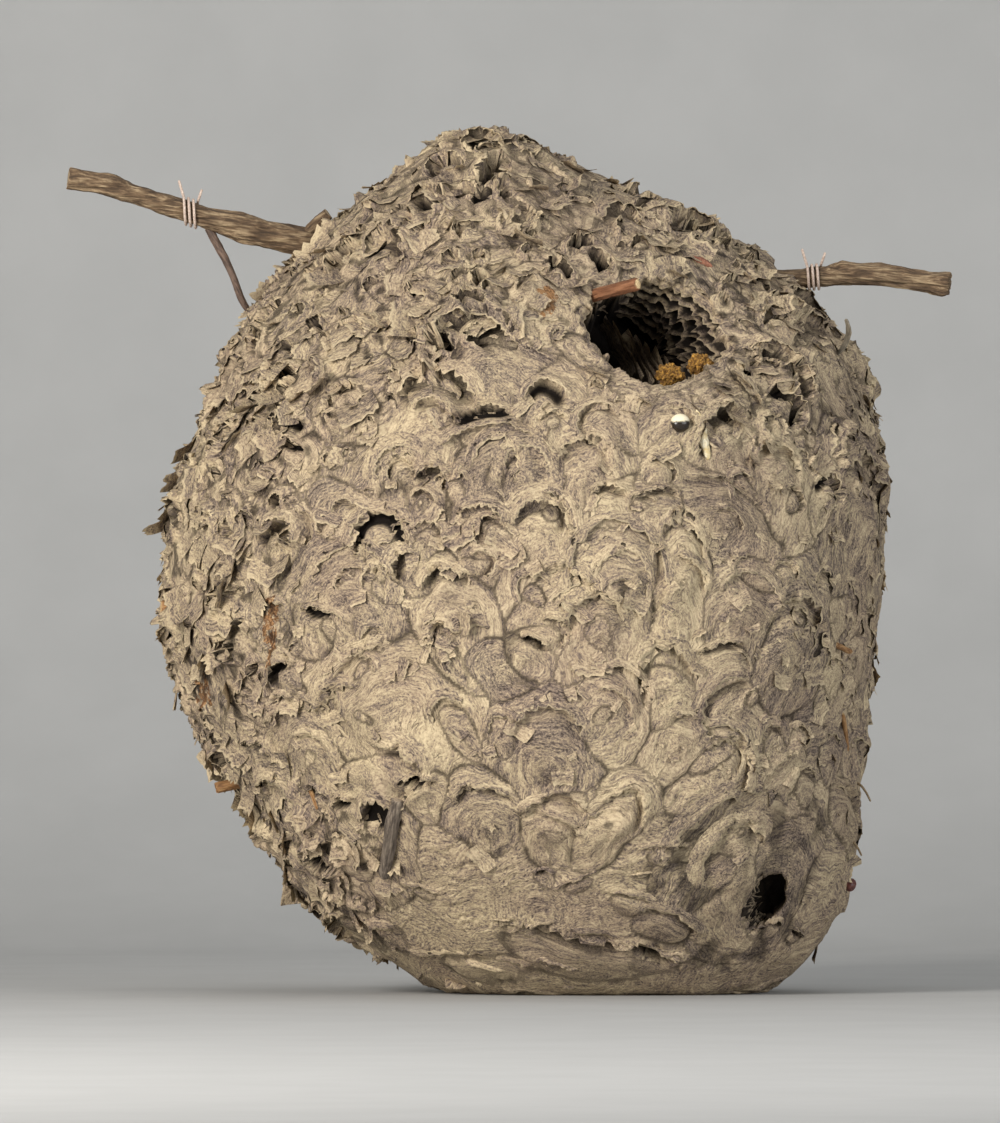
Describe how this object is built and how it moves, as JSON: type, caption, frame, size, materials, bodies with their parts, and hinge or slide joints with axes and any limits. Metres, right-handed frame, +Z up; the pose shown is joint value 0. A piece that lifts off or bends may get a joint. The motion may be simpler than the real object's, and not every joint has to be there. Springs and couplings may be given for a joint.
{
  "type": "hornet nest",
  "caption": "Grey paper hornet nest built round a cut branch, with a torn opening near the top and an entrance low on one side.",
  "frame": {"origin": "on the small flat that the nest stands on, under its middle", "axes": "+Z up, X along the branch, -Y towards the torn hole and the entrance"},
  "size_m": [0.4426, 0.3321, 0.4318],
  "materials": {
    "paper": "matt wasp paper: scalloped, streaky grey and beige wood pulp",
    "bark": "grooved olive-brown bark, satin",
    "young_bark": "smooth dark reddish bark of a young shoot",
    "weathered_twig": "grey weathered twig",
    "golden_twig": "golden-brown twig with a pale cut end",
    "needle": "dry conifer needle",
    "dry_leaf": "curled dry leaf",
    "dark_husk": "dark red-brown husk",
    "red_bark": "reddish bark chip",
    "dark_gloss": "dark glossy shell of a seed",
    "cream_resin": "dried cream streak",
    "ochre_pulp": "ochre fibrous pulp",
    "twine": "pale pinkish-beige twisted twine"
  },
  "bodies": {
    "root": {"paper_envelope": "paper", "main_branch": "bark", "fork_twig": "young_bark", "branch_stub": "bark", "hole_twig": "young_bark", "left_stub_upper": "golden_twig", "left_stub_lower": "golden_twig", "furrow_twig": "weathered_twig", "splinter_twig": "golden_twig", "right_twig_upper": "golden_twig", "right_twig_lower": "golden_twig", "needle_long": "needle", "needle_short": "needle", "leaf_stalk": "dry_leaf", "brown_bud": "dark_husk", "dark_seed": "dark_husk", "bark_chip": "red_bark", "glossy_bead": "dark_gloss", "resin_streak": "cream_resin", "pulp_lump_low": "ochre_pulp", "pulp_lump_high": "ochre_pulp", "flap_back": "paper", "flap_bottom": "paper", "tie_left": "twine", "tie_right": "twine"}
  },
  "joints": []
}
